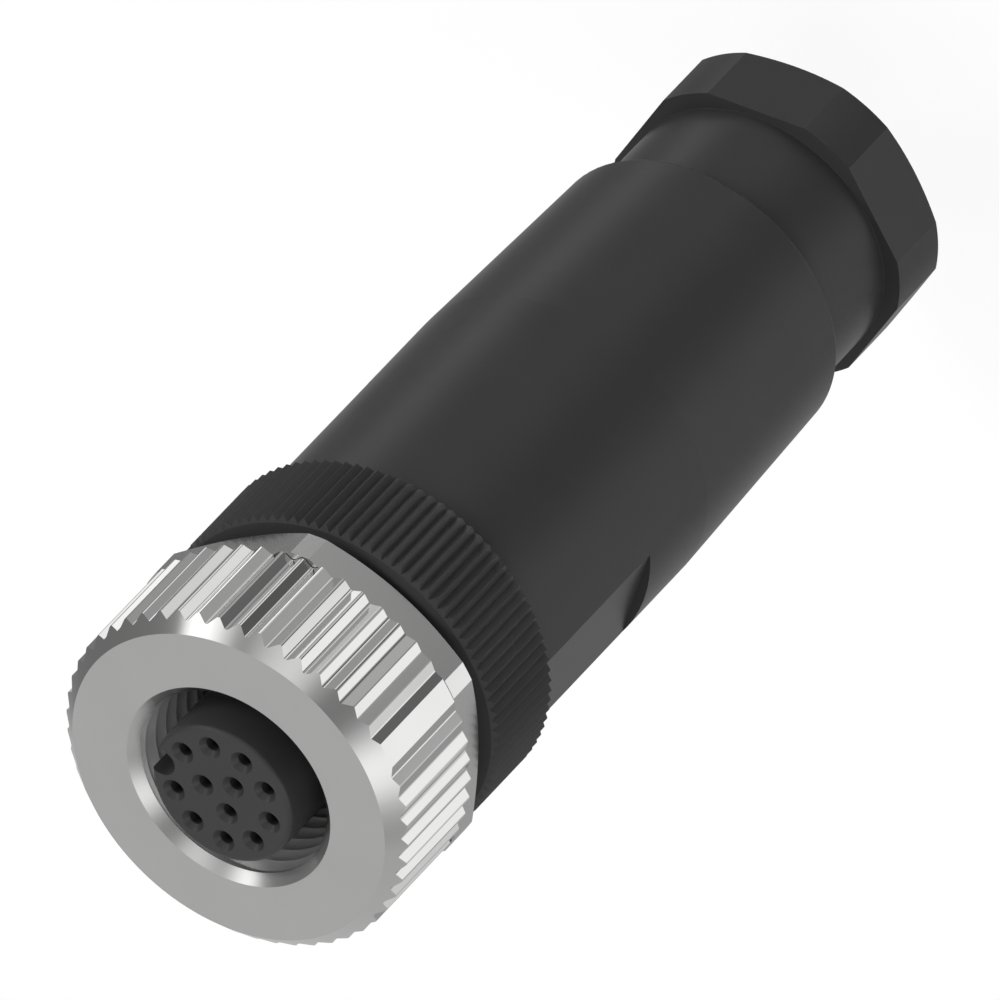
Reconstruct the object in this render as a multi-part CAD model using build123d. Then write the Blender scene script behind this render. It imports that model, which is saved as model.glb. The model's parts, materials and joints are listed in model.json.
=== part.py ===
from build123d import *
import math
import os

# Straight cable connector with a twelve-way socket insert and a threaded coupling nut.
# Millimetres. It stands on its cable end, its axis is Z and +Z points out of the mating face.
# Heights are counted upwards from the end face of the gland nut.

# Clearances
THREAD_GAP = 0.06        # radial, between a screwed piece and its bore
TURN_GAP = 0.07          # radial, coupling nut on its retainer
SLIP_GAP = 0.08          # radial, pieces that slide in the shell's rear bore
CONE_GAP = 0.10          # radial, clamp fingers inside the gland nut
STOP_GAP = 0.02          # axial, where two pieces rest against each other
NUT_PLAY = 0.29          # axial, coupling nut to collar
FLANGE_PLAY = 0.10       # axial, coupling nut to its retainer's flange

# Gland nut
GLAND_AF = 16.0
GLAND_CORNER_D = 17.0
GLAND_HEX_H = 4.4
GLAND_LAND_D = 15.2      # flat of the end face
GLAND_CHAMFER = 30.0     # degrees
GLAND_ANGLE = 32.8       # degrees, one corner of the hexagon
SKIRT_D = 15.14
SKIRT_OPEN = 6.23        # visible between hexagon and shell
SKIRT_IN = 1.35          # inside the shell's mouth
SKIRT_FILLET = 0.3
GLAND_THREAD_D = 14.0
GLAND_THREAD_H = 3.88
GLAND_BORE_D = 11.5      # room for the clamp fingers
CABLE_BORE_D = 8.6
CABLE_BORE_H = 6.4
CABLE_FLARE = 0.7
CLAMP_CONE_H = 3.5

# Clamp cage, thrust washer and cable seal
CAGE_BASE_H = 1.3
CAGE_WALL = 1.05
FINGERS = 8
FINGER_SLOT = 0.9
FINGER_REACH = 1.9       # into the clamping cone
FINGER_ROOT = 1.4        # unslotted length next to the base
FINGER_BITE = 0.5        # inward step at each tip
CAGE_BORE_D = 8.8
WASHER_H = 0.6
WASHER_BORE_D = 8.0
SEAL_H = 5.0
SEAL_BORE_D = 6.4
SEAL_CHAMFER = 0.6

# Shell
SHELL_D = 18.0
SHELL_END_D = 17.0
SHELL_H = 30.37
SHELL_STRAIGHT_H = 16.55
SHELL_RIM = 0.2
FLAT_AF = 17.0
FLAT_H = 10.9
FLAT_ANGLE = 16.75       # degrees, middle of the first spanner flat
MOUTH_GAP = 0.08         # radial, gland skirt in the shell's rear mouth
WEB_H = 1.6
WEB_BORE_D = 10.0
WEB_CONE_H = 2.0
CHAMBER_D = 14.4
RING_SEAT_H = 2.0
RING_GAP = 0.06          # radial, sealing ring in the shell's front mouth

# Knurled collar
COLLAR_STEP = 0.29       # radial, rib tips below the coupling nut's outside
COLLAR_H = 5.44
RIBS = 96
RIB_DEPTH = 0.32
RIB_ANGLE = 1.0          # degrees, first rib
COLLAR_LEAD = 0.37       # radial size of the front chamfer
COLLAR_LEAD_H = 0.23
COLLAR_BACK = 0.15       # rear chamfer
SPIGOT_D = 15.0
SPIGOT_H = 6.1
SPIGOT_BORE_D = 12.4
SPIGOT_LEAD = 0.3
COLLAR_WEB_H = 3.26
RING_GROOVE_D = 13.44
RING_GROOVE_H = 1.2
RING_GROOVE_OFFSET = 0.15
RING_SECTION = 1.0

# Coupling nut
NUT_D = 20.2
NUT_H = 9.65
NUT_AF = 18.0
NUT_FACE_D = 18.34
NUT_LEAD_H = 0.92        # height of the front cone
NUT_TOOTHED_H = 6.97
NUT_ANGLE = 242.6        # degrees, plain strip and one corner of the hexagon
NUT_CORNER_H = 1.8       # straight height of a hexagon corner
NUT_CHAMFER = 30.0       # degrees
TEETH = 52
TOOTH_TIP_D = 20.06
TOOTH_LAND = 0.14        # flat on each crest
NOTCH_LAND = 0.13        # flat at the bottom of each notch
TOOTH_DEPTH = 0.415      # below the outer diameter
TOOTH_DEPTH_BY_STRIP = (0.175, 0.175, 0.27, 0.33)
STRIP_HALF_ANGLE = 3.9   # degrees
NUT_BORE_D = 10.92
NUT_MOUTH_D = 11.96
NUT_UNDERCUT_D = 12.1
NUT_UNDERCUT_H = 0.9
NUT_LIP_D = 9.7
NUT_LIP_H = 1.65

# Nut retainer, a flanged sleeve pressed into the collar
FLANGE_D = 10.6
FLANGE_H = 1.35
TAIL_D = 9.3

# Contact insert
PROUD = 0.72             # insert beyond the nut's face
BARREL_D = 8.14
BARREL_ROUND = 0.27
INSERT_TAIL_D = 7.6      # pressed into the nut retainer; the seal ring sits on its upper end
SEAL_SEAT_H = 1.3
KEY_ANGLE = 21.4         # degrees
KEY_R = 0.76
KEY_CENTRE = 3.53
OUTER_CIRCLE_D = 5.77
OUTER_CONTACTS = 9
KEY_SPREAD = 56.0        # degrees, between the two outer contacts next to the key
INNER_CIRCLE_D = 2.19
INNER_CONTACTS = 3
PIN_HOLE_D = 0.76
PIN_HOLE_H = 1.1
FUNNEL_D = 1.27
FUNNEL_H = 0.31
SEAL_RING_SECTION = 1.2

# Contacts
CONTACT_D = 1.1
CONTACT_GAP = 0.01       # radial, contact in the insert
SOCKET_D = 0.78
SOCKET_H = 5.0
SOCKET_SLOT = 0.16
CONTACT_FLANGE_D = 1.5
CONTACT_FLANGE_H = 0.5
CUP_D = 1.24
CUP_H = 3.2
CUP_BORE_D = 0.84
CUP_BORE_H = 2.4
CUP_OPEN_H = 1.8

# Heights of the seats, from the gland nut's end face up
Z_HEX = GLAND_HEX_H
Z_SHELL = Z_HEX + SKIRT_OPEN
Z_SKIRT_TOP = Z_SHELL + SKIRT_IN
Z_GLAND_TOP = Z_SKIRT_TOP + GLAND_THREAD_H
Z_CAGE = Z_GLAND_TOP + STOP_GAP
Z_WASHER = Z_CAGE + CAGE_BASE_H + STOP_GAP
Z_SEAL = Z_WASHER + WASHER_H + STOP_GAP
Z_WEB = Z_SEAL + SEAL_H + STOP_GAP
Z_SHELL_TOP = Z_SHELL + SHELL_H
Z_COLLAR = Z_SHELL_TOP + STOP_GAP
Z_COLLAR_TOP = Z_COLLAR + COLLAR_H
Z_NUT = Z_COLLAR_TOP + NUT_PLAY
Z_NUT_TOP = Z_NUT + NUT_H
Z_TIP = Z_NUT_TOP + PROUD
Z_FLANGE = Z_NUT + NUT_LIP_H + FLANGE_PLAY
Z_FLANGE_TOP = Z_FLANGE + FLANGE_H
Z_SEAT = Z_FLANGE_TOP + SEAL_SEAT_H
Z_TAIL = Z_COLLAR_TOP - COLLAR_WEB_H
Z_SPIGOT = Z_COLLAR - SPIGOT_H

# Radii that one piece takes from another
REAR_BORE_R = GLAND_THREAD_D / 2 + THREAD_GAP
SLIDE_R = REAR_BORE_R - SLIP_GAP
FRONT_BORE_R = SPIGOT_D / 2 + THREAD_GAP
RING_SEAT_R = RING_GROOVE_D / 2 + RING_SECTION + RING_GAP
SHANK_R = NUT_LIP_D / 2 - TURN_GAP
CONE_SLOPE = (GLAND_BORE_D - CABLE_BORE_D) / 2 / CLAMP_CONE_H
Z_CONE = CABLE_BORE_H
Z_CONE_TOP = Z_CONE + CLAMP_CONE_H


def polar(radius, degrees):
    angle = math.radians(degrees)
    return (radius * math.cos(angle), radius * math.sin(angle))


def turned(points):
    """Solid of revolution about Z from a closed outline of (radius, height) points."""
    outline = Polyline(*[(r, 0, z) for r, z in points], close=True)
    return revolve(make_face(outline), Axis.Z)


def rod(diameter, z0, z1):
    """Plain cylinder about Z between two heights."""
    return Pos(0, 0, z0) * Cylinder(diameter / 2, z1 - z0, align=(Align.CENTER, Align.CENTER, Align.MIN))


def prism(points, z0, z1):
    """Straight prism on a closed outline in plan."""
    return Pos(0, 0, z0) * extrude(make_face(Polyline(*points, close=True)), z1 - z0)


def hexagon(across_flats, corner_angle, z0, z1):
    corner = across_flats / 2 / math.cos(math.radians(30))
    return prism([polar(corner, corner_angle + 60 * i) for i in range(6)], z0, z1)


def gland_nut():
    corner = GLAND_CORNER_D / 2
    land = GLAND_LAND_D / 2
    chamfer_h = (corner - land) * math.tan(math.radians(GLAND_CHAMFER))
    head = hexagon(GLAND_AF, GLAND_ANGLE, 0, Z_HEX)
    head &= turned([(0, 0), (land, 0), (corner, chamfer_h), (corner, Z_HEX), (0, Z_HEX)])
    body = head + rod(SKIRT_D, Z_HEX, Z_SKIRT_TOP)
    neck = [e for e in body.edges().filter_by(GeomType.CIRCLE) if abs(e.center().Z - Z_HEX) < 1e-3]
    body = fillet([e for e in neck if abs(e.radius - SKIRT_D / 2) < 1e-3], SKIRT_FILLET)
    lead = GLAND_THREAD_D / 2 - (REAR_BORE_R - GLAND_BORE_D / 2) / 4
    thread_r = GLAND_THREAD_D / 2
    thread_lead = thread_r - lead
    body += turned([
        (0, Z_SKIRT_TOP), (thread_r, Z_SKIRT_TOP), (thread_r, Z_GLAND_TOP - thread_lead),
        (lead, Z_GLAND_TOP), (0, Z_GLAND_TOP),
    ])
    cable_r = CABLE_BORE_D / 2
    room_r = GLAND_BORE_D / 2
    bore = [
        (0, 0), (cable_r + CABLE_FLARE, 0), (cable_r, CABLE_FLARE), (cable_r, Z_CONE),
        (room_r, Z_CONE_TOP), (room_r, Z_GLAND_TOP), (0, Z_GLAND_TOP),
    ]
    return body - turned(bore)


def clamp_cage():
    outer = GLAND_BORE_D / 2 - CONE_GAP
    inner = outer - CAGE_WALL
    tip_z = Z_CONE_TOP - FINGER_REACH
    tip_outer = outer - FINGER_REACH * CONE_SLOPE
    base_top = Z_CAGE + CAGE_BASE_H
    cage_bore = CAGE_BORE_D / 2
    body = turned([
        (inner - FINGER_BITE, tip_z), (tip_outer, tip_z), (outer, Z_CONE_TOP), (outer, Z_CAGE),
        (SLIDE_R, Z_CAGE), (SLIDE_R, base_top), (cage_bore, base_top), (cage_bore, Z_CAGE),
        (inner, Z_CAGE - FINGER_ROOT / 2), (inner, Z_CONE_TOP),
        (inner - FINGER_BITE, Z_CONE_TOP - FINGER_BITE),
    ])
    slot_top = Z_CAGE - FINGER_ROOT
    slot = Pos(outer / 2, 0, tip_z) * Box(
        outer, FINGER_SLOT, slot_top - tip_z, align=(Align.CENTER, Align.CENTER, Align.MIN))
    for i in range(FINGERS):
        body -= Rot(0, 0, 360 / FINGERS * i) * slot
    return body


def thrust_washer():
    return rod(2 * SLIDE_R, Z_WASHER, Z_WASHER + WASHER_H) - rod(WASHER_BORE_D, Z_WASHER, Z_WASHER + WASHER_H)


def cable_seal():
    top = Z_SEAL + SEAL_H
    bore = SEAL_BORE_D / 2
    waist = (SLIDE_R - bore) / 5
    third = SEAL_H / 3
    return turned([
        (bore + SEAL_CHAMFER, Z_SEAL), (SLIDE_R - SEAL_CHAMFER, Z_SEAL), (SLIDE_R, Z_SEAL + SEAL_CHAMFER),
        (SLIDE_R, top - SEAL_CHAMFER), (SLIDE_R - SEAL_CHAMFER, top), (bore + SEAL_CHAMFER, top),
        (bore, top - SEAL_CHAMFER), (bore, Z_SEAL + 2 * third), (bore + waist, Z_SEAL + 1.5 * third),
        (bore, Z_SEAL + third), (bore, Z_SEAL + SEAL_CHAMFER),
    ])


def shell():
    r = SHELL_D / 2
    end_r = SHELL_END_D / 2
    bend = Z_SHELL_TOP - SHELL_STRAIGHT_H
    body = turned([(0, Z_SHELL), (end_r, Z_SHELL), (r, bend), (r, Z_SHELL_TOP), (0, Z_SHELL_TOP)])
    rim = body.edges().filter_by(GeomType.CIRCLE).sort_by(Axis.Z)[0]
    body = fillet(rim, SHELL_RIM)
    depth = r - FLAT_AF / 2
    flat = Pos(r, 0, Z_SHELL_TOP) * Box(2 * depth, SHELL_D, 2 * FLAT_H)
    for side in (0, 180):
        body -= Rot(0, 0, FLAT_ANGLE + side) * flat
    mouth_r = SKIRT_D / 2 + MOUTH_GAP
    web_top = Z_WEB + WEB_H
    chamber_r = CHAMBER_D / 2
    thread_end = Z_SPIGOT - SPIGOT_LEAD
    body -= turned([
        (0, Z_SHELL), (mouth_r, Z_SHELL), (mouth_r, Z_SKIRT_TOP + STOP_GAP),
        (REAR_BORE_R, Z_SKIRT_TOP + STOP_GAP), (REAR_BORE_R, Z_WEB), (0, Z_WEB),
    ])
    body -= rod(WEB_BORE_D, Z_WEB, web_top)
    body -= turned([
        (0, web_top), (WEB_BORE_D / 2, web_top), (chamber_r, web_top + WEB_CONE_H), (chamber_r, thread_end),
        (FRONT_BORE_R, thread_end), (FRONT_BORE_R, Z_SHELL_TOP - RING_SEAT_H - (RING_SEAT_R - FRONT_BORE_R)),
        (RING_SEAT_R, Z_SHELL_TOP - RING_SEAT_H), (RING_SEAT_R, Z_SHELL_TOP), (0, Z_SHELL_TOP),
    ])
    return body


def knurled_collar():
    tip = NUT_D / 2 - COLLAR_STEP
    step = 360 / RIBS
    outline = []
    for i in range(RIBS):
        outline.append(polar(tip, RIB_ANGLE + i * step))
        outline.append(polar(tip - RIB_DEPTH, RIB_ANGLE + (i + 0.5) * step))
    body = prism(outline, Z_COLLAR, Z_COLLAR_TOP)
    body &= turned([
        (0, Z_COLLAR), (tip - COLLAR_BACK, Z_COLLAR), (tip, Z_COLLAR + COLLAR_BACK),
        (tip, Z_COLLAR_TOP - COLLAR_LEAD_H), (tip - COLLAR_LEAD, Z_COLLAR_TOP), (0, Z_COLLAR_TOP),
    ])
    spigot_r = SPIGOT_D / 2
    groove_top = Z_COLLAR - RING_GROOVE_OFFSET
    groove_r = RING_GROOVE_D / 2
    body += turned([
        (0, Z_SPIGOT), (spigot_r - SPIGOT_LEAD, Z_SPIGOT), (spigot_r, Z_SPIGOT + SPIGOT_LEAD),
        (spigot_r, groove_top - RING_GROOVE_H), (groove_r, groove_top - RING_GROOVE_H),
        (groove_r, groove_top), (spigot_r, groove_top), (spigot_r, Z_COLLAR), (0, Z_COLLAR),
    ])
    body -= rod(TAIL_D, Z_TAIL, Z_COLLAR_TOP)
    return body - rod(SPIGOT_BORE_D, Z_SPIGOT, Z_TAIL)


def collar_ring():
    z = Z_COLLAR - RING_GROOVE_OFFSET - RING_GROOVE_H / 2
    return Pos(0, 0, z) * Torus((RING_GROOVE_D + RING_SECTION) / 2, RING_SECTION / 2)


def short_flat(radius, width, degrees):
    """Both ends of a short flat centred on an angle, in counter-clockwise order."""
    half = math.degrees(math.asin(width / 2 / radius))
    return [polar(radius, degrees - half), polar(radius, degrees + half)]


def tooth_outline():
    """Saw-tooth ring with one plain strip; the notches next to the strip are shallower."""
    outer = NUT_D / 2
    tip = TOOTH_TIP_D / 2
    step = 360 / TEETH
    points = [polar(outer / math.cos(math.radians(STRIP_HALF_ANGLE)) + 0.02, NUT_ANGLE)]
    points.append(polar(outer, NUT_ANGLE + STRIP_HALF_ANGLE))
    for i in range(1, TEETH):
        rank = min(i, TEETH - i)
        shallow = rank <= len(TOOTH_DEPTH_BY_STRIP)
        depth = TOOTH_DEPTH_BY_STRIP[rank - 1] if shallow else TOOTH_DEPTH
        points += short_flat(outer - depth, NOTCH_LAND, NUT_ANGLE + i * step)
        if i < TEETH - 1:
            points += short_flat(tip, TOOTH_LAND, NUT_ANGLE + (i + 0.5) * step)
    points.append(polar(outer, NUT_ANGLE - STRIP_HALF_ANGLE))
    return points


def coupling_nut():
    outer = NUT_D / 2
    z_teeth = Z_NUT_TOP - NUT_TOOTHED_H
    teeth = prism(tooth_outline(), z_teeth, Z_NUT_TOP)
    teeth &= turned([
        (0, z_teeth), (outer, z_teeth), (outer, Z_NUT_TOP - NUT_LEAD_H),
        (NUT_FACE_D / 2, Z_NUT_TOP), (0, Z_NUT_TOP),
    ])
    z_corner = z_teeth - NUT_CORNER_H
    land = outer - (z_corner - Z_NUT) / math.tan(math.radians(NUT_CHAMFER))
    head = hexagon(NUT_AF, NUT_ANGLE, Z_NUT, z_teeth)
    head &= turned([(0, Z_NUT), (land, Z_NUT), (outer, z_corner), (outer, z_teeth), (0, z_teeth)])
    bore = NUT_BORE_D / 2
    mouth = NUT_MOUTH_D / 2
    lip = NUT_LIP_D / 2
    undercut = NUT_UNDERCUT_D / 2
    lip_top = Z_NUT + NUT_LIP_H
    hollow = turned([
        (0, Z_NUT), (lip, Z_NUT), (lip, lip_top), (undercut, lip_top), (undercut, lip_top + NUT_UNDERCUT_H),
        (bore, lip_top + NUT_UNDERCUT_H), (bore, Z_NUT_TOP - (mouth - bore)),
        (mouth, Z_NUT_TOP), (0, Z_NUT_TOP),
    ])
    return teeth + head - hollow


def contact_places():
    """Plan position and angle of every contact, outer ring first."""
    pitch = (360 - KEY_SPREAD) / (OUTER_CONTACTS - 1)
    outer = [(OUTER_CIRCLE_D / 2, KEY_ANGLE - KEY_SPREAD / 2 - pitch * i) for i in range(OUTER_CONTACTS)]
    inner = [(INNER_CIRCLE_D / 2, KEY_ANGLE - 360 / INNER_CONTACTS * i) for i in range(INNER_CONTACTS)]
    return [(*polar(radius, angle), angle) for radius, angle in outer + inner]


def nut_retainer():
    """Flanged sleeve; its flange traps the coupling nut's rear lip and the insert is pressed into it."""
    bore = INSERT_TAIL_D / 2
    return turned([
        (bore, Z_TAIL), (TAIL_D / 2, Z_TAIL), (TAIL_D / 2, Z_COLLAR_TOP), (SHANK_R, Z_COLLAR_TOP),
        (SHANK_R, Z_FLANGE), (FLANGE_D / 2, Z_FLANGE), (FLANGE_D / 2, Z_FLANGE_TOP), (bore, Z_FLANGE_TOP),
    ])


def contact_insert():
    barrel = BARREL_D / 2
    tail = INSERT_TAIL_D / 2
    body = turned([
        (0, Z_TAIL), (tail, Z_TAIL), (tail, Z_SEAT), (barrel, Z_SEAT), (barrel, Z_TIP), (0, Z_TIP),
    ])
    rim = body.edges().filter_by(GeomType.CIRCLE).sort_by(Axis.Z)[-1]
    body = fillet(rim, BARREL_ROUND)
    key = Pos(*polar(KEY_CENTRE, KEY_ANGLE), 0) * rod(2 * KEY_R, Z_SEAT, Z_TIP)
    slot = Rot(0, 0, KEY_ANGLE) * Pos(KEY_CENTRE, 0, Z_SEAT) * Box(
        BARREL_D / 2, 2 * KEY_R, Z_TIP - Z_SEAT, align=(Align.MIN, Align.CENTER, Align.MIN))
    body = body - key - slot
    pin = PIN_HOLE_D / 2
    cavity = CONTACT_D / 2 + CONTACT_GAP
    hole = turned([
        (0, Z_TAIL), (cavity, Z_TAIL), (cavity, Z_TIP - PIN_HOLE_H), (pin, Z_TIP - PIN_HOLE_H),
        (pin, Z_TIP - FUNNEL_H), (FUNNEL_D / 2, Z_TIP), (0, Z_TIP),
    ])
    for x, y, _ in contact_places():
        body -= Pos(x, y, 0) * hole
    return body


def mating_seal():
    z = Z_FLANGE_TOP + SEAL_RING_SECTION / 2
    return Pos(0, 0, z) * Torus((INSERT_TAIL_D + SEAL_RING_SECTION) / 2, SEAL_RING_SECTION / 2)


def contact():
    """Socket contact on the axis: slit spring socket in front, flange, open solder cup behind."""
    r = CONTACT_D / 2
    top = Z_TIP - PIN_HOLE_H - STOP_GAP
    flange_low = Z_TAIL - CONTACT_FLANGE_H
    cup_low = flange_low - CUP_H
    body = turned([
        (0, cup_low), (CUP_D / 2, cup_low), (CUP_D / 2, flange_low), (CONTACT_FLANGE_D / 2, flange_low),
        (CONTACT_FLANGE_D / 2, Z_TAIL), (r, Z_TAIL), (r, top), (0, top),
    ])
    body -= rod(SOCKET_D, top - SOCKET_H, top)
    body -= rod(CUP_BORE_D, cup_low, cup_low + CUP_BORE_H)
    slit = Pos(0, 0, top) * Box(CONTACT_D + SOCKET_SLOT, SOCKET_SLOT, 2 * SOCKET_H * 0.8)
    window = Pos(CUP_D / 2, 0, cup_low) * Box(CUP_D * 0.9, CUP_D, 2 * CUP_OPEN_H)
    return body - slit - window


def main():
    parts = {
        "gland_nut": gland_nut(),
        "clamp_cage": clamp_cage(),
        "thrust_washer": thrust_washer(),
        "cable_seal": cable_seal(),
        "shell": shell(),
        "knurled_collar": knurled_collar(),
        "collar_ring": collar_ring(),
        "coupling_nut": coupling_nut(),
        "nut_retainer": nut_retainer(),
        "contact_insert": contact_insert(),
        "mating_seal": mating_seal(),
    }
    pin = contact()
    for number, (x, y, angle) in enumerate(contact_places(), start=1):
        parts[f"contact_{number:02d}"] = Pos(x, y, 0) * Rot(0, 0, angle) * pin
    os.makedirs("parts", exist_ok=True)
    for name, part in parts.items():
        export_step(part, f"parts/{name}.step")


main()
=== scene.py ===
# %% [markdown]
# # A round cable connector in bright nickel and black plastic
# The solids come from CAD and are already true to size. This script dresses them: it rebuilds the
# pieces whose surface carries fine relief, such as teeth, ribs and screw threads, and it gives every
# piece a finish. The connector stands upright with its cable end at height zero, its axis is Z, and
# lengths are in metres.

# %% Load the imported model
import json
import math
import bmesh
import bpy
from mathutils import Matrix, Vector


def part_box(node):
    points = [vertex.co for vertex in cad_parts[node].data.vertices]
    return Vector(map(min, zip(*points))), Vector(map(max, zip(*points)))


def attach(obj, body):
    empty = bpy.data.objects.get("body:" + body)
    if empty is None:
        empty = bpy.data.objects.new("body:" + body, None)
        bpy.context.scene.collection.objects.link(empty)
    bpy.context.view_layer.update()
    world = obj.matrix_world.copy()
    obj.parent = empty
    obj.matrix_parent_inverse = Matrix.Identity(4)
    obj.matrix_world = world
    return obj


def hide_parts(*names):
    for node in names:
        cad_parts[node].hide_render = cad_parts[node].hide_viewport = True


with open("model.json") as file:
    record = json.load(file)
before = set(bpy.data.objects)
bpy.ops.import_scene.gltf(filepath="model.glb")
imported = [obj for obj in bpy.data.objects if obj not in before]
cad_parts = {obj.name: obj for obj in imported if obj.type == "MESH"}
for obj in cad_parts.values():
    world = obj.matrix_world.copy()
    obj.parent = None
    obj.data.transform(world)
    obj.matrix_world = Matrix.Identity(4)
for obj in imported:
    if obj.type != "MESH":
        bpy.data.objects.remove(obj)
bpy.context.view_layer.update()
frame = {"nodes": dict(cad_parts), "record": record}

MM = 0.001
scene = bpy.context.scene

# %% [markdown]
# ## Camera
# The picture is almost a parallel view, as catalogues like it, and a very long lens from two metres
# away gives the same. The camera looks down on the mating face at 42 degrees and is rolled, so that the
# connector lies across the picture. Three angles could say this too, but three unit vectors say it more
# plainly: the camera's right, up and backwards, which are the columns of its matrix.

# %% Place the camera
camera_data = bpy.data.cameras.new("long_lens")
camera_data.sensor_width = 36.0
camera_data.lens = 1500.0
camera_data.clip_start = 0.1
camera_data.clip_end = 6.0
camera = bpy.data.objects.new("camera", camera_data)
scene.collection.objects.link(camera)
right = Vector((-0.7236, -0.4611, -0.5135))
up = Vector((0.6902, -0.4834, -0.5384))
back = Vector((0.0, -0.7440, 0.6680))
view_turn = Matrix((right, up, back)).transposed()
look_at = Vector((0.000047, 0.0, 0.02953)) - right * 0.000199 - up * 0.000062
camera.matrix_world = Matrix.Translation(look_at + back * 2.1097) @ view_turn.to_4x4()
scene.camera = camera
scene.view_settings.view_transform = "Standard"
print("camera", [round(v, 4) for v in camera.location])

# %% [markdown]
# ## White background
# A product picture stands on plain white, but a world as bright as that would wash the black plastic
# out. Light Path tells the world which kind of ray asks: camera, glossy and transmission rays see
# white, and the rays that light the object see a soft grey. The floor needs the same switch, so it is
# a helper, with two more for the nodes that both of them use.

# %% Node helpers
def math_node(tree, operation, a, b, clamp=False):
    """A Math node fed by numbers or by other nodes; gives its output."""
    node = tree.nodes.new("ShaderNodeMath")
    node.operation = operation
    node.use_clamp = clamp
    for socket, value in zip(node.inputs, (a, b)):
        if isinstance(value, (int, float)):
            socket.default_value = value
        else:
            tree.links.new(value, socket)
    return node.outputs[0]


def mix_shaders(tree, factor, first, second):
    mix = tree.nodes.new("ShaderNodeMixShader")
    for socket, output in zip(mix.inputs, (factor, first, second)):
        tree.links.new(output, socket)
    return mix.outputs[0]


def seen_rays(tree):
    """1 for the rays that look at the background, 0 for those that light the object."""
    path = tree.nodes.new("ShaderNodeLightPath")
    looking = math_node(tree, "ADD", path.outputs["Is Camera Ray"], path.outputs["Is Glossy Ray"])
    return math_node(tree, "ADD", looking, path.outputs["Is Transmission Ray"], clamp=True)

# %% White world with a grey light
AMBIENT = 0.34
world = bpy.data.worlds.new("white_room")
scene.world = world
world.use_nodes = True
tree = world.node_tree
tree.nodes.clear()
grey = tree.nodes.new("ShaderNodeBackground")
grey.inputs["Color"].default_value = (AMBIENT, AMBIENT, AMBIENT, 1)
white = tree.nodes.new("ShaderNodeBackground")
white.inputs["Color"].default_value = (1, 1, 1, 1)
out = tree.nodes.new("ShaderNodeOutputWorld")
surface = mix_shaders(tree, seen_rays(tree), grey.outputs[0], white.outputs[0])
tree.links.new(surface, out.inputs["Surface"])
print("world light level", AMBIENT)

# %% [markdown]
# ## Floor
# A pale disc catches the soft shadow, and its matt paper is mixed with a little white of its own, so
# that its rim melts into the background. It lies 8.6 mm under the cable end: the shell and the gland
# nut come down that far when both are unscrewed, and would sink into a floor any higher. The disc and
# all later pieces are made from lists of points and faces, which says exactly where each point lies.

# %% Mesh helpers
def mesh_object(name, points, faces):
    mesh = bpy.data.meshes.new(name)
    mesh.from_pydata(points, [], faces)
    mesh.update()
    obj = bpy.data.objects.new(name, mesh)
    scene.collection.objects.link(obj)
    return obj


def polar(radius, angle):
    return (radius * math.cos(angle), radius * math.sin(angle))

# %% The disc
FLOOR_Z = -8.6 * MM
FLOOR_R = 0.24
SPOKES = 96
rim = [(*polar(FLOOR_R, 2 * math.pi * i / SPOKES), FLOOR_Z) for i in range(SPOKES)]
floor = mesh_object("floor", rim, [list(range(SPOKES))])
floor.visible_glossy = False
print("floor disc", FLOOR_R, "m in radius, at", FLOOR_Z, "m")

# %% Pale paper with some white of its own
FLOOR_WHITE = 0.85
paper = bpy.data.materials.new("pale_floor")
paper.use_nodes = True
tree = paper.node_tree
matt = tree.nodes["Principled BSDF"]
matt.inputs["Base Color"].default_value = (0.9, 0.9, 0.9, 1)
matt.inputs["Roughness"].default_value = 0.9
matt.inputs["Specular IOR Level"].default_value = 0.1
glow = tree.nodes.new("ShaderNodeEmission")
glow.inputs["Color"].default_value = (1, 1, 1, 1)
glow.inputs["Strength"].default_value = 1.04
share = math_node(tree, "MULTIPLY", seen_rays(tree), FLOOR_WHITE)
surface = mix_shaders(tree, share, matt.outputs[0], glow.outputs[0])
tree.links.new(surface, tree.nodes["Material Output"].inputs["Surface"])
floor.data.materials.append(paper)
print("paper glows by", FLOOR_WHITE)

# %% [markdown]
# ## Soft boxes
# Three area lights give the plain level: a box low at the right, one higher at the left and a wide
# one overhead. Each is placed by compass and height as seen from the nut, 0 being +Y and 90 being +X,
# and its strength is named as the brightness that it gives to a white sheet facing it. Glossy rays
# don't see the boxes: what the shiny faces mirror is left to the cards of the next step.

# %% Directions as seen from the nut
CENTRE = Vector((0, 0, 0.045))


def direction(compass, height):
    c, h = math.radians(compass), math.radians(height)
    return Vector((math.sin(c) * math.cos(h), math.cos(c) * math.cos(h), math.sin(h)))

# %% Area lights
def soft_box(name, compass, height, distance, width, length, level):
    data = bpy.data.lights.new(name, "AREA")
    data.shape = "RECTANGLE"
    data.size = width
    data.size_y = length
    data.energy = level * math.pi ** 2 * distance ** 2
    lamp = bpy.data.objects.new(name, data)
    way = direction(compass, height)
    lamp.location = CENTRE + way * distance
    lamp.rotation_mode = "QUATERNION"
    lamp.rotation_quaternion = way.to_track_quat("Z", "Y")
    lamp.visible_glossy = False
    scene.collection.objects.link(lamp)
    print(name, round(data.energy, 3), "W")


soft_box("right_box", 100, 33, 0.5, width=0.13, length=0.16, level=0.42)
soft_box("left_box", -118, 40, 0.5, width=0.24, length=0.24, level=0.30)
soft_box("top_box", 20, 78, 0.6, width=0.4, length=0.4, level=0.28)

# %% [markdown]
# ## Reflector cards
# Bright metal has no colour of its own to show: it shows what stands round it. Photographers put grey
# and black cards round a shiny part, so that its facets turn light and dark by turns. Here the cards
# are bands of a sphere round the nut, and each band is painted by a colour ramp that runs round the
# compass. Single planes would do as well, but a ramp moves a card by changing one number. Only glossy
# rays see the bands, so they give no light or shadow.

# %% A ramp that runs round the compass
BRIGHTEST = 4.0


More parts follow.
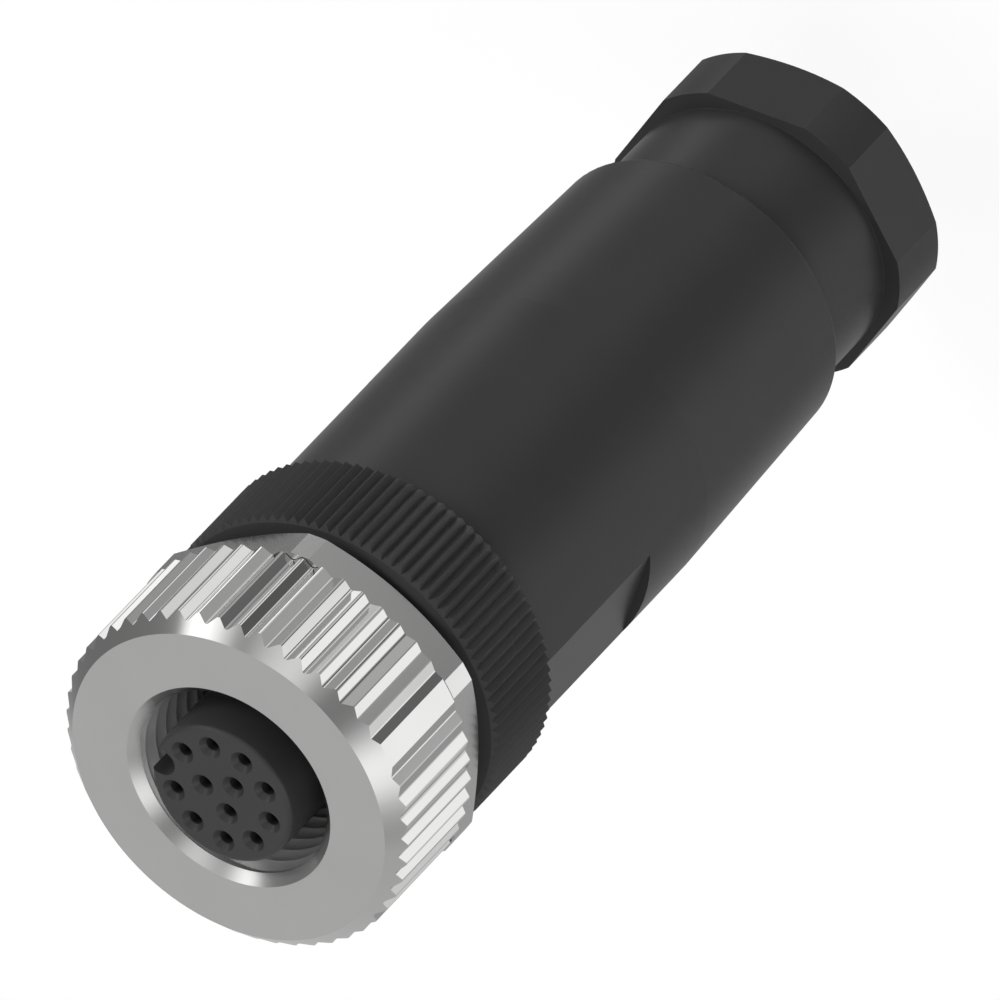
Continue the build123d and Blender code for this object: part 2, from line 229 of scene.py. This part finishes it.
def compass_ramp(tree, stops, blend):
    """The colour for stops of (compass from -180 to 180, level up to BRIGHTEST)."""
    place = tree.nodes.new("ShaderNodeTexCoord")
    split = tree.nodes.new("ShaderNodeSeparateXYZ")
    tree.links.new(place.outputs["Object"], split.inputs[0])
    compass = math_node(tree, "ARCTAN2", split.outputs["X"], split.outputs["Y"])
    share = math_node(tree, "ADD", math_node(tree, "DIVIDE", compass, 2 * math.pi), 0.5)
    ramp = tree.nodes.new("ShaderNodeValToRGB")
    ramp.color_ramp.interpolation = blend
    tree.links.new(share, ramp.inputs[0])
    marks = ramp.color_ramp.elements
    while len(marks) < len(stops):
        marks.new(0.5)
    for mark, (angle, _) in zip(marks, stops):  # places first, because a ramp sorts its marks by place
        mark.position = (angle + 180) / 360
    for mark, (_, level) in zip(marks, stops):
        mark.color = (level / BRIGHTEST, level / BRIGHTEST, level / BRIGHTEST, 1)
    return ramp.outputs["Color"]

# %% A band of the sphere
def band(name, heights, stops, blend="CARDINAL", distance=0.4, steps=8):
    low, high = heights
    points, faces = [], []
    for j in range(steps + 1):
        for i in range(SPOKES):
            way = direction(360 * i / SPOKES, low + (high - low) * j / steps)
            points.append(CENTRE + way * distance)
    for j in range(steps):
        for i in range(SPOKES):
            a, b = j * SPOKES + i, j * SPOKES + (i + 1) % SPOKES
            faces.append((a, b, b + SPOKES, a + SPOKES))
    obj = mesh_object(name, points, faces)
    for ray in ("camera", "diffuse", "transmission", "volume_scatter", "shadow"):
        setattr(obj, "visible_" + ray, False)
    board = bpy.data.materials.new(name)
    board.use_nodes = True
    tree = board.node_tree
    tree.nodes.clear()
    shine = tree.nodes.new("ShaderNodeEmission")
    shine.inputs["Strength"].default_value = BRIGHTEST
    tree.links.new(compass_ramp(tree, stops, blend), shine.inputs["Color"])
    out = tree.nodes.new("ShaderNodeOutputMaterial")
    tree.links.new(shine.outputs[0], out.inputs["Surface"])
    obj.data.materials.append(board)
    print(name, len(stops), "stops")

# %% [markdown]
# ## Low cards for the teeth
# The teeth stand upright and mirror what lies low in front of the nut. They are flat, so each takes the
# level of one card, and the cards need hard edges: straight blends with two stops close together at
# every edge. The band is nearer than the others. Facets that lean the same way but sit on different
# sides of the nut then meet different cards, as they do in a real studio.

# %% The low band
CARD_EDGE = 0.4
low_cards = [
    (-180, -171, 0.17), (-171, -160.5, 0.13), (-160.5, -142.1, 0.48), (-142.1, -110.5, 1.24),
    (-110.5, -82, 0.84), (-82, -62, 0.40), (-62, 35, 0.56), (35, 77, 0.24),
    (77, 90.5, 1.25), (90.5, 98.2, 1.7), (98.2, 132, 0.42), (132, 140.3, 0.94),
    (140.3, 146.8, 0.54), (146.8, 159, 1.05), (159, 176.8, 0.46), (176.8, 180, 0.15),
]
low_stops = []
for start, end, level in low_cards:
    low_stops += [(start + CARD_EDGE, level), (end - CARD_EDGE, level)]
band("low_band", (-85, -28), low_stops, "LINEAR", distance=0.2)

# %% [markdown]
# ## Soft light for the cones
# The front cone, the mouth and the flat face mirror what stands level with the nut and above it. A cone
# bends through the whole compass, so hard cards would draw stripes on it. Stops joined by a curve give
# it two broad gleams instead, one at the left and a stronger one at the right.

# %% The middle, high and top bands
left_gleam = [
    (-180, 0.40), (-172, 0.28), (-155, 0.30), (-147, 0.48), (-139, 0.78), (-131, 1.10), (-122, 1.25),
    (-111, 1.10), (-103, 0.78), (-97, 0.58), (-87, 0.44), (-76, 0.51), (-8, 0.56),
]
right_gleam = [
    (84, 0.30), (88, 0.46), (91, 1.00), (94, 1.50), (100, 1.75), (106, 1.45), (111, 1.08), (118, 0.62),
    (124, 0.43), (131, 0.52), (139, 0.71), (155, 0.92), (166, 0.80), (172, 0.63), (180, 0.40),
]
dark_gap = [(12, 0.45), (20, 0.30), (32, 0.21), (74, 0.23)]
band("middle_band", (-33, 38), left_gleam + dark_gap + right_gleam)
band("high_band", (38, 64), left_gleam + [(16, 0.56), (78, 0.50)] + right_gleam)
overhead = [(-180, 0.60), (-130, 0.80), (-80, 0.80), (0, 0.58), (80, 0.90), (120, 0.90), (180, 0.60)]
band("top_band", (64, 90), overhead)

# %% [markdown]
# ## Shared effects
# Two effects serve several finishes, so each is a node group, built once. Grain is the fine skin that
# a mould or a plating bath leaves: it lets the roughness wander a little and gives a height for a
# bump. Tone lets a colour drift slowly between two close shades over the surface. Both are noise in
# the piece's own space, so that they stay on the piece when it moves and need no unwrapping.

# %% Node group helper
def new_group(name, inputs, outputs):
    group = bpy.data.node_groups.new(name, "ShaderNodeTree")
    for label, kind, value in inputs:
        socket = group.interface.new_socket(name=label, in_out="INPUT", socket_type=kind)
        if value is not None:
            socket.default_value = value
    for label, kind in outputs:
        group.interface.new_socket(name=label, in_out="OUTPUT", socket_type=kind)
    return group, group.nodes.new("NodeGroupInput"), group.nodes.new("NodeGroupOutput")

# %% Grain: roughness that wanders, and a height
grain, g_in, g_out = new_group(
    "grain",
    [("Vector", "NodeSocketVector", None), ("Scale", "NodeSocketFloat", 5000.0),
     ("Roughness", "NodeSocketFloat", 0.4), ("Spread", "NodeSocketFloat", 0.08)],
    [("Roughness", "NodeSocketFloat"), ("Height", "NodeSocketFloat")])
fine = grain.nodes.new("ShaderNodeTexNoise")
fine.inputs["Detail"].default_value = 3.0
grain.links.new(g_in.outputs["Vector"], fine.inputs["Vector"])
grain.links.new(g_in.outputs["Scale"], fine.inputs["Scale"])
offset = math_node(grain, "SUBTRACT", fine.outputs["Fac"], 0.5)
spread = math_node(grain, "MULTIPLY", offset, g_in.outputs["Spread"])
total = math_node(grain, "ADD", spread, g_in.outputs["Roughness"])
grain.links.new(total, g_out.inputs["Roughness"])
grain.links.new(fine.outputs["Fac"], g_out.inputs["Height"])
print("group", grain.name, [s.name for s in grain.interface.items_tree])

# %% Tone: a slow drift between two shades
tone, t_in, t_out = new_group(
    "tone",
    [("Vector", "NodeSocketVector", None), ("Scale", "NodeSocketFloat", 300.0),
     ("First", "NodeSocketColor", (0.5, 0.5, 0.5, 1)), ("Second", "NodeSocketColor", (0.6, 0.6, 0.6, 1))],
    [("Color", "NodeSocketColor")])
slow = tone.nodes.new("ShaderNodeTexNoise")
slow.inputs["Detail"].default_value = 1.0
tone.links.new(t_in.outputs["Vector"], slow.inputs["Vector"])
tone.links.new(t_in.outputs["Scale"], slow.inputs["Scale"])
drift = tone.nodes.new("ShaderNodeMix")
drift.data_type = "RGBA"
tone.links.new(slow.outputs["Fac"], drift.inputs["Factor"])
tone.links.new(t_in.outputs["First"], drift.inputs["A"])
tone.links.new(t_in.outputs["Second"], drift.inputs["B"])
tone.links.new(drift.outputs["Result"], t_out.inputs["Color"])
print("group", tone.name, [s.name for s in tone.interface.items_tree])

# %% [markdown]
# ## Nickel plating
# The nut wears one plating in three states: bright on the rolled teeth, satin on its turned face and
# spanner flats, and dull in the thread. The thread's colour is also a little darker than the plate's:
# painted shade for the deep bore. One Principled shader fed by the two groups can be any finish of
# this connector, so a builder takes the numbers that tell them apart.

# %% One builder for all finishes
def finish(name, shades, metallic, rough, spread, scale, bump, specular=0.5):
    material = bpy.data.materials.new(name)
    material.use_nodes = True
    tree = material.node_tree
    shader = tree.nodes["Principled BSDF"]
    shader.inputs["Metallic"].default_value = metallic
    shader.inputs["Specular IOR Level"].default_value = specular
    place = tree.nodes.new("ShaderNodeTexCoord")
    colour = tree.nodes.new("ShaderNodeGroup")
    colour.node_tree = tone
    colour.inputs["Scale"].default_value = 300.0
    colour.inputs["First"].default_value = (*shades[0], 1)
    colour.inputs["Second"].default_value = (*shades[1], 1)
    skin = tree.nodes.new("ShaderNodeGroup")
    skin.node_tree = grain
    skin.inputs["Scale"].default_value = scale
    skin.inputs["Roughness"].default_value = rough
    skin.inputs["Spread"].default_value = spread
    relief = tree.nodes.new("ShaderNodeBump")
    relief.inputs["Strength"].default_value = bump
    relief.inputs["Distance"].default_value = 0.02 * MM
    tree.links.new(place.outputs["Object"], colour.inputs["Vector"])
    tree.links.new(place.outputs["Object"], skin.inputs["Vector"])
    tree.links.new(colour.outputs["Color"], shader.inputs["Base Color"])
    tree.links.new(skin.outputs["Roughness"], shader.inputs["Roughness"])
    tree.links.new(skin.outputs["Height"], relief.inputs["Height"])
    tree.links.new(relief.outputs["Normal"], shader.inputs["Normal"])
    print("finish", name)
    return material

# %% Three states of the plating
plate = ((0.64, 0.64, 0.635), (0.68, 0.68, 0.675))
# The thread's shades are a little darker than the plate's: painted shade for the deep bore.
painted_shade_plate = ((0.60, 0.60, 0.60), (0.64, 0.64, 0.64))
nickel = finish("bright_nickel", plate,
                metallic=1.0, rough=0.09, spread=0.02, scale=9000, bump=0.003)
satin_nickel = finish("satin_nickel", plate,
                      metallic=1.0, rough=0.24, spread=0.04, scale=9000, bump=0.02)
bore_nickel = finish("threaded_nickel_painted_shade", painted_shade_plate,
                     metallic=0.7, rough=0.46, spread=0.05, scale=9000, bump=0.01)

# %% [markdown]
# ## Plastic, rubber and gold
# The housing is black moulded plastic. It is never quite black. The ribbed collar is a little rougher
# than the smooth shell, and its colour is a slightly lighter copy of the same plastic: painted light
# that brightens its ribs. The socket insert is a darker plastic, with a sheen on its rim. The seals are
# matt rubber, and the contacts at the bottom of the holes are gold plated.

# %% The other five finishes
housing = finish("satin_black_plastic", ((0.043, 0.043, 0.044), (0.047, 0.047, 0.048)),
                 metallic=0.0, rough=0.34, spread=0.06, scale=5200, bump=0.15, specular=0.12)
# The collar's shades are a lighter copy of the housing's: painted light on its ribs.
ribbed_painted_light = finish("ribbed_plastic_painted_light", ((0.052, 0.052, 0.053), (0.056, 0.056, 0.057)),
                metallic=0.0, rough=0.40, spread=0.06, scale=5200, bump=0.10, specular=0.12)
socket = finish("insert_plastic", ((0.030, 0.030, 0.031), (0.034, 0.034, 0.035)),
                metallic=0.0, rough=0.42, spread=0.06, scale=6000, bump=0.10, specular=0.4)
rubber = finish("seal_rubber", ((0.018, 0.018, 0.018), (0.026, 0.026, 0.026)),
                metallic=0.0, rough=0.72, spread=0.10, scale=4000, bump=0.25, specular=0.3)
gold = finish("contact_gold", ((0.83, 0.62, 0.25), (0.90, 0.68, 0.30)),
              metallic=1.0, rough=0.24, spread=0.05, scale=9000, bump=0.05)

# %% [markdown]
# ## Pieces that keep their CAD form
# The shell, the socket insert with its twelve holes, the contacts, the seals, the clamp cage and the
# ring that holds the nut have plain forms, which CAD gives exactly. They only need a finish, and the
# model's own record says which material each node is made of.

# %% Dress the CAD nodes
finish_of = {"black_plastic": housing, "insert_plastic": socket, "rubber": rubber,
             "plated_metal": nickel, "contact_metal": gold}
slot_of = {row["node"]: row["material_slot"] for row in frame["record"]["subparts"]}
for name, obj in frame["nodes"].items():
    obj.data.materials.clear()
    obj.data.materials.append(finish_of[slot_of[name]])
print(len(slot_of), "nodes dressed")

# %% [markdown]
# ## One way to build every turned piece
# Nut, collar and gland nut are all half sections swept round the axis, but the section changes on the
# way: a tooth, a flat of a hexagon, a thread that climbs. A Screw modifier can't change its section,
# and Booleans that cut teeth leave a ragged mesh. So the helper asks for the section anew at each
# angle, as a closed list of (radius, height), and skins one section to the next. Where two points of
# a section fall together, the face between them vanishes, and merging cleans that up. Edges that bend
# by more than 8 degrees are marked sharp, so that flats stay flat and cones stay smooth.

# %% Sweep a changing section round Z
SHARP = math.radians(8)


def sweep(name, angles, section):
    columns = [section(angle) for angle in angles]
    size = len(columns[0])
    points = []
    for angle, column in zip(angles, columns):
        points += [(r * MM * math.cos(angle), r * MM * math.sin(angle), z * MM) for r, z in column]
    faces = []
    for j in range(len(angles) - 1):
        for i in range(size):
            k = (i + 1) % size
            faces.append((j * size + i, (j + 1) * size + i, (j + 1) * size + k, j * size + k))
    obj = mesh_object(name, points, faces)
    work = bmesh.new()
    work.from_mesh(obj.data)
    bmesh.ops.remove_doubles(work, verts=work.verts, dist=1e-7)
    bmesh.ops.dissolve_degenerate(work, edges=work.edges, dist=1e-7)
    bmesh.ops.recalc_face_normals(work, faces=work.faces)
    for face in work.faces:
        face.smooth = True
    for edge in work.edges:
        edge.smooth = edge.calc_face_angle(0) < SHARP
    work.to_mesh(obj.data)
    work.free()
    return obj

# %% Hand a finished piece to its body
def complete(obj, material, body, node):
    """The piece takes its main finish, rides on a body and hides the CAD node that it stands for."""
    obj.data.materials.append(material)
    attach(obj, body)
    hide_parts(node)
    print(obj.name, len(obj.data.vertices), "vertices", len(obj.data.polygons), "faces")

# %% [markdown]
# ## Outlines seen from above
# Teeth and ribs are drawn as a closed line of corners, seen along the axis. A sweep needs angles and
# radii instead, one pair for each corner. A real edge is never razor sharp, and its tiny rounding is
# what flashes in the light, so each corner is first traded for a short facet.

# %% From corners to columns
def eased(points, radius, crisp=0):
    """The outline with a short facet for every corner, but for the first and last few, kept crisp."""
    made = []
    for i, point in enumerate(points):
        if i < crisp or i >= len(points) - crisp:
            made.append(point)
            continue
        here = Vector(point)
        for other in (points[i - 1], points[(i + 1) % len(points)]):
            way = Vector(other) - here
            made.append(tuple(here + way.normalized() * min(radius, way.length * 0.35)))
    return made


def columns_of(points, extra=()):
    """Sorted (angle, radius) pairs of an outline, closed by the first one a full turn later.
    Extra angles get a pair of their own, on the straight line between their neighbours."""
    pairs = sorted((math.atan2(y, x) % (2 * math.pi), math.hypot(x, y)) for x, y in points)
    pairs.append((pairs[0][0] + 2 * math.pi, pairs[0][1]))
    added = []
    for angle in extra:
        angle = pairs[0][0] + (angle - pairs[0][0]) % (2 * math.pi)
        for (a0, r0), (a1, r1) in zip(pairs, pairs[1:]):
            if a0 + 1e-4 < angle < a1 - 1e-4:
                across = r0 * math.sin(angle - a0) + r1 * math.sin(a1 - angle)
                added.append((angle, r0 * r1 * math.sin(a1 - a0) / across))
    return sorted(pairs + added)

# %% [markdown]
# ## Hexagons with rounded corners
# Both nuts have six flats for a spanner and rounded corners, as if they were cut from round bar. At
# any angle the radius is that of the flat or that of the bar, whichever is less. The sweep also needs
# a column exactly where each arc meets a flat, or the corner would waver.

# %% Hexagon in plan
def hexagon(angle, corner_angle, flat, corner):
    from_flat = (angle - corner_angle) % (math.pi / 3) - math.pi / 6
    return min(flat / math.cos(from_flat), corner)


def hexagon_edges(corner_angle, flat, corner):
    """The angles at which the rounded corners begin and end."""
    half = math.pi / 6 - math.acos(flat / corner)
    return [corner_angle + math.pi / 3 * k + side * half for k in range(6) for side in (-1, 1)]

# %% [markdown]
# ## Screw threads
# A thread is a V that climbs one pitch a turn. The profile is a list of (share of the pitch, depth),
# and its heights move up with the angle, so the edges of the mesh run along the helix and the ridge
# stays crisp with few faces. Heights past the ends are held at the end, which cuts the thread off flat.

# %% Thread along a wall
PITCH = 1.0
INSIDE = [(0.045, 0.0), (0.07, 0.0), (0.29, 0.5), (0.51, 1.0), (0.53, 1.0), (0.78, 0.5)]
OUTSIDE = [(0.01, 0.0), (0.115, 0.0), (0.15, 0.06), (0.42, 0.95),
           (0.455, 1.0), (0.67, 1.0), (0.705, 0.95), (0.975, 0.06)]


def depth_at(profile, share):
    """Depth at a share of the pitch, on straight lines between the points of the profile."""
    share = share % 1.0
    around = [(profile[-1][0] - 1, profile[-1][1])] + profile + [(profile[0][0] + 1, profile[0][1])]
    for (s0, d0), (s1, d1) in zip(around, around[1:]):
        if share <= s1:
            return d0 + (d1 - d0) * (share - s0) / (s1 - s0)


def thread_wall(angle, low, high, crest, depth, profile, phase=0.0):
    """(radius, height) up the wall. A positive depth cuts outwards, a negative one inwards."""
    climb = PITCH * (phase + angle / (2 * math.pi))
    wall = []
    for lap in range(-3, math.ceil((high - low) / PITCH) + 1):
        for share, _ in profile:
            z = min(max(low + climb + (lap + share) * PITCH, low), high)
            wall.append((crest + depth * depth_at(profile, (z - low - climb) / PITCH), z))
    return wall

# %% [markdown]
# ## Coupling nut
# The real one is turned from brass and nickel plated. Its front two thirds carry 52 saw teeth for the
# fingers, with one plain strip between them, and its rear is a hexagon for a spanner. Every tooth has
# a narrow land on its crest and in its root, with eased corners, which give the fine double lines in
# the light. Next to the strip the teeth are shallower and crisp. Inside is the coupling thread, one
# millimetre a turn, which runs out just before the countersunk mouth.

# %% Sizes of the nut's outside, in millimetres
nut_low, nut_high = (corner.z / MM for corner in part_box("coupling_nut"))
NUT_R, TIP_R, FACE_R = 10.1, 10.03, 9.17  # the bar, most teeth, the flat front face
NUT_FLAT = 9.0  # half of the spanner's width
LEAD, TOOTHED = 0.92, 6.97  # lengths of the front cone, and of teeth and cone together
CORNER = 1.8  # length of the rear chamfer at a corner of the hexagon
NUT_ANGLE = math.radians(242.6)  # where the strip lies, and a corner of the hexagon behind it
STRIP = math.radians(3.9)  # half of the strip
TEETH, NOTCH = 52, 0.415
SHALLOW = (0.175, 0.175, 0.27, 0.33)  # the notches nearest to the strip
EASE = 0.03  # the facet on a tooth's corners
z_teeth = nut_high - TOOTHED
print("nut from", round(nut_low, 2), "to", round(nut_high, 2))

# %% Tooth ring in plan
def land(radius, width, angle):
    half = math.asin(width / 2 / radius)
    return [polar(radius, angle - half), polar(radius, angle + half)]


ring = []
for i in range(1, TEETH):
    rank = min(i, TEETH - i)
    depth = SHALLOW[rank - 1] if rank <= len(SHALLOW) else NOTCH
    angle = NUT_ANGLE + 2 * math.pi * i / TEETH
    ring += land(NUT_R - depth, 0.07 if rank <= 2 else 0.13, angle)
    if i < TEETH - 1:
        full = min(i, TEETH - 1 - i) <= 2
        ring += land(NUT_R if full else TIP_R, 0.07 if full else 0.14, angle + math.pi / TEETH)
strip = [polar(NUT_R, NUT_ANGLE + STRIP * (i / 4 - 1)) for i in range(9)]
corners = hexagon_edges(NUT_ANGLE, NUT_FLAT, NUT_R)
tooth_at = dict(columns_of(eased(ring, EASE, crisp=8) + strip, corners))
print(len(tooth_at), "columns round the nut")

# %% Inside of the nut at one angle
MINOR, MOUTH = 5.46, 5.98  # the thread's ridge and the mouth
THREAD_DEPTH, THREAD_START, RUN_OUT = 0.46, 0.965, 0.12
UNDERCUT, UNDERCUT_H = 6.05, 0.9
LIP, LIP_H = 4.85, 1.65  # the rear lip, which holds the nut on the connector


def nut_bore(angle):
    low, high = nut_low + LIP_H + UNDERCUT_H, nut_high - (MOUTH - MINOR)
    thread = thread_wall(angle, low, high, MINOR, THREAD_DEPTH, INSIDE, THREAD_START)
    bore = [(MINOR + (r - MINOR) * min(1, (high - z) / RUN_OUT), z) for r, z in reversed(thread)]
    return bore + [
        (UNDERCUT, low), (UNDERCUT, low - UNDERCUT_H), (LIP + 0.03, low - UNDERCUT_H),
        (LIP, low - UNDERCUT_H - 0.03), (LIP, nut_low + 0.1), (LIP + 0.1, nut_low),
    ]

# %% Section of the nut at one angle
def nut_section(angle):
    tooth = tooth_at[angle]
    wall = hexagon(angle, NUT_ANGLE, NUT_FLAT, NUT_R)
    seam = min(wall, tooth - 0.08)
    slope = math.tan(math.radians(30))
    land_r = NUT_R - (z_teeth - CORNER - nut_low) / slope
    front = nut_high - LEAD * (tooth - FACE_R) / (NUT_R - FACE_R)
    return [
        (land_r, nut_low), (wall, nut_low + (wall - land_r) * slope), (wall, z_teeth - 0.05),
        (seam, z_teeth - 0.05), (seam, z_teeth), (tooth, z_teeth), (tooth, front), (FACE_R, nut_high),
        (MOUTH, nut_high),
    ] + nut_bore(angle)

# %% Build the nut, with the plating's three states
coupling_nut = sweep("coupling_nut_toothed", list(tooth_at), nut_section)
complete(coupling_nut, nickel, "nut", "coupling_nut")
coupling_nut.data.materials.append(satin_nickel)
coupling_nut.data.materials.append(bore_nickel)
for face in coupling_nut.data.polygons:
    place = face.center / MM
    r, below = math.hypot(place.x, place.y), nut_high - place.z
    if r < MOUTH + 0.1 and below > MOUTH - MINOR:
        face.material_index = 2
    elif r < MOUTH or below < 0.02 or (r > FACE_R - 0.8 and below > TOOTHED):
        face.material_index = 1

# %% [markdown]
# ## Clean light on the cones
# The columns of the nut stand close together at a tooth's land and far apart on its flanks. Normals
# averaged from such uneven faces waver, and a mirror shows that as kinks. The front cone and the mouth
# are plain cones, so their exact normals are easy to name and are set corner by corner. A zero stands
# for a normal that Blender goes on working out by itself.

# %% Exact normals for the nut's two front cones
def cone_at(r, below):
    """Radial and axial part of the normal, if a face at this radius and depth lies on a cone."""
    if below > 0.02 and abs(below - LEAD * (r - FACE_R) / (NUT_R - FACE_R)) < 0.03:
        return Vector((LEAD, NUT_R - FACE_R)).normalized()
    if 0.02 < below < 0.5 and abs(r + below - MOUTH) < 0.03:
        return Vector((-1, 1)).normalized()
    return None


mesh = coupling_nut.data
normals = [(0, 0, 0)] * len(mesh.loops)
for face in mesh.polygons:
    place = face.center / MM
    part = cone_at(math.hypot(place.x, place.y), nut_high - place.z)
    if part:
        for k in face.loop_indices:
            x, y, _ = mesh.vertices[mesh.loops[k].vertex_index].co
            normals[k] = (part[0] * x / math.hypot(x, y), part[0] * y / math.hypot(x, y), part[1])
mesh.normals_split_custom_set(normals)
print(sum(1 for n in normals if n != (0, 0, 0)), "corners with exact normals")

# %% [markdown]
# ## Knurled collar
# The real one is moulded in black plastic: 96 straight ribs for the fingers, and behind them the spigot
# that screws into the long shell. The spigot is hidden until the shell is unscrewed, and then it shows
# its own thread. An array of one rib would leave 96 seams, so the ribs are a zigzag outline, and the
# same sweep as before skins ribs and spigot in one go.

# %% Ribs in plan
RIBS, RIB_TIP, RIB_DEPTH = 96, 9.81, 0.32
ribs = []
for i in range(RIBS):
    angle = math.radians(1.0) + 2 * math.pi * i / RIBS
    ribs.append(polar(RIB_TIP, angle))
    ribs.append(polar(RIB_TIP - RIB_DEPTH, angle + math.pi / RIBS))
rib_at = dict(columns_of(eased(ribs, 0.012)))
print(len(rib_at), "columns round the collar")

# %% Section of the collar
collar_low, collar_high = (corner.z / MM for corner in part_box("knurled_collar"))
SPIGOT_R, SPIGOT_BORE, NUT_BORE, GROOVE_R = 7.5, 6.2, 4.65, 6.72
OUTSIDE_DEPTH = 0.61
rib_low = collar_high - 5.44
groove_top = rib_low - 0.15
groove_low = groove_top - 1.2
web_low = collar_high - 3.26


def collar_section(angle):
    rib = rib_at[angle]
    thread = thread_wall(angle, collar_low + 0.02, groove_low, SPIGOT_R, -OUTSIDE_DEPTH, OUTSIDE)
    thread = [(min(r, 7.2 + z - collar_low), z) for r, z in thread]
    rear, lead = min(rib, RIB_TIP - 0.15), min(rib, RIB_TIP - 0.37)
    return [(SPIGOT_BORE, collar_low), (7.15, collar_low)] + thread + [
        (GROOVE_R, groove_low), (GROOVE_R, groove_top), (SPIGOT_R, groove_top), (SPIGOT_R, rib_low),
        (rear, rib_low), (rib, rib_low + rib - rear), (rib, collar_high - (rib - lead) * 0.23 / 0.37),
        (lead, collar_high), (NUT_BORE, collar_high), (NUT_BORE, web_low), (SPIGOT_BORE, web_low),
    ]

# %% Build the collar
collar = sweep("collar_ribbed", list(rib_at), collar_section)
complete(collar, ribbed_painted_light, "front", "knurled_collar")

# %% [markdown]
# ## Gland nut
# The nut at the cable end: a hexagon with rounded corners and a chamfered end face, a smooth skirt,
# and a thread that hides in the shell. Inside, a cone squeezes the fingers of the clamp cage. It is
# rebuilt for the sake of its thread, which shows when the nut is unscrewed.

# %% Section of the gland nut
gland_low, gland_high = (corner.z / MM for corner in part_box("gland_nut"))
GLAND_ANGLE = math.radians(32.8)
GLAND_FLAT, GLAND_R, END_R, GLAND_THREAD_R = 8.0, 8.5, 7.6, 7.0
SKIRT, FILLET = 7.57, 0.04
hex_top, skirt_top = 4.4, 11.98


def gland_section(angle):
    wall = hexagon(angle, GLAND_ANGLE, GLAND_FLAT, GLAND_R)
    rise = math.tan(math.radians(30))
    arc = []
    for i in range(14):
        bend = math.pi / 2 * i / 13
        arc.append((SKIRT + FILLET * (1 - math.sin(bend)), hex_top + FILLET * (1 - math.cos(bend))))
    thread = thread_wall(angle, skirt_top, gland_high, GLAND_THREAD_R, -OUTSIDE_DEPTH, OUTSIDE)
    thread = [(min(r, 6.7 + gland_high - z), z) for r, z in thread]
    chamfer_top = gland_low + (wall - END_R) * rise
    outside = [(5.0, gland_low), (END_R, gland_low), (wall, chamfer_top), (wall, hex_top)]
    inside = [(5.75, gland_high), (5.75, 9.9), (4.3, 6.4), (4.3, 0.7)]
    return outside + arc + [(SKIRT, skirt_top)] + thread + inside

# %% Build the gland nut
circle = [polar(GLAND_FLAT, math.radians(2 * i)) for i in range(180)]
gland_columns = columns_of(circle, hexagon_edges(GLAND_ANGLE, GLAND_FLAT, GLAND_R))
gland = sweep("gland_nut_threaded", [angle for angle, _ in gland_columns], gland_section)
complete(gland, housing, "gland", "gland_nut")
